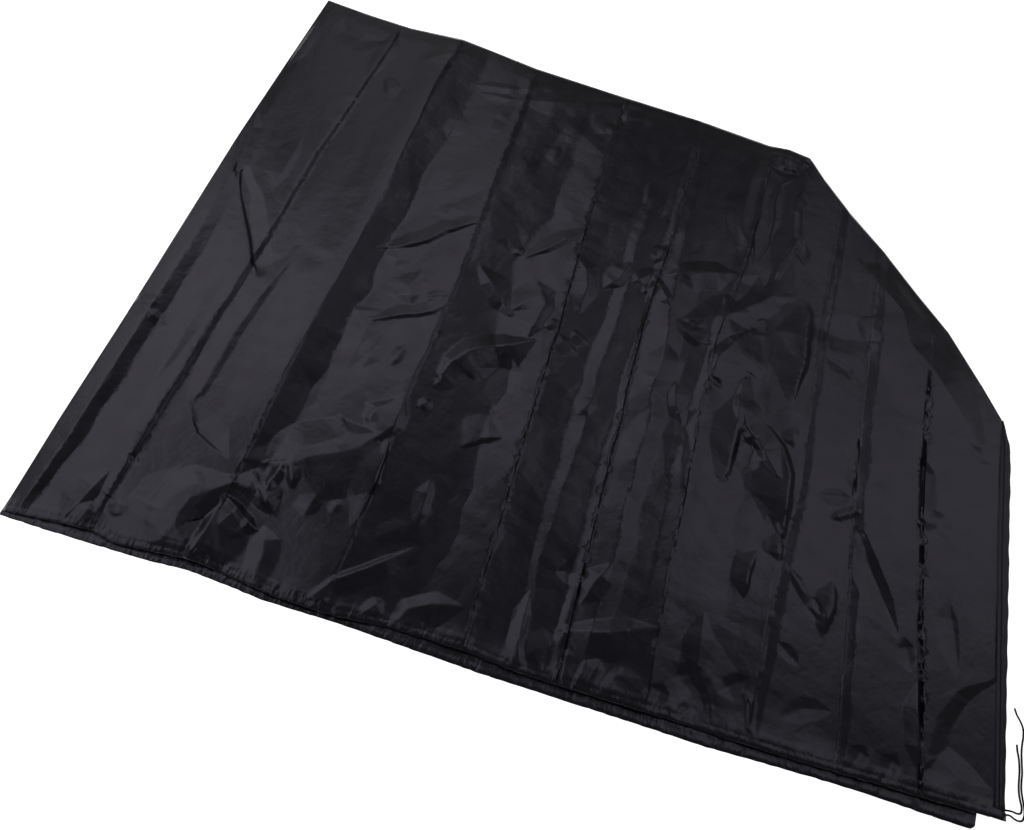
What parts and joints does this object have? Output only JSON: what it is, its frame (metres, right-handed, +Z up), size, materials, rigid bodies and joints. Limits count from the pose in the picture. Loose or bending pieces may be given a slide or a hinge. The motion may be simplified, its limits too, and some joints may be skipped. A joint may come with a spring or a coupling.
{
  "type": "golf cart cover",
  "caption": "Large coated cloth cover with a slanted front, folded along its centre line and lying flat on its side, with a cased hem and the free ends of its drawcord.",
  "frame": {"origin": "on the floor, under the middle of the folded cover's bounding box, without the drawcord's free ends", "axes": "+X along the hem from the rear edge to the front edge, +Y from the hem to the roof edge, +Z up"},
  "size_m": [2.6942, 2.3268, 0.0388],
  "materials": {
    "cover_cloth": "black coated woven cloth with a soft shine",
    "seam_cloth": "black coated cloth, doubled and stitched",
    "drawcord": "black braided cord, matte"
  },
  "bodies": {
    "root": {"upper_half": "cover_cloth", "lower_half": "cover_cloth", "front_seam": "seam_cloth", "drawcord_short": "drawcord", "drawcord_long": "drawcord"}
  },
  "joints": []
}
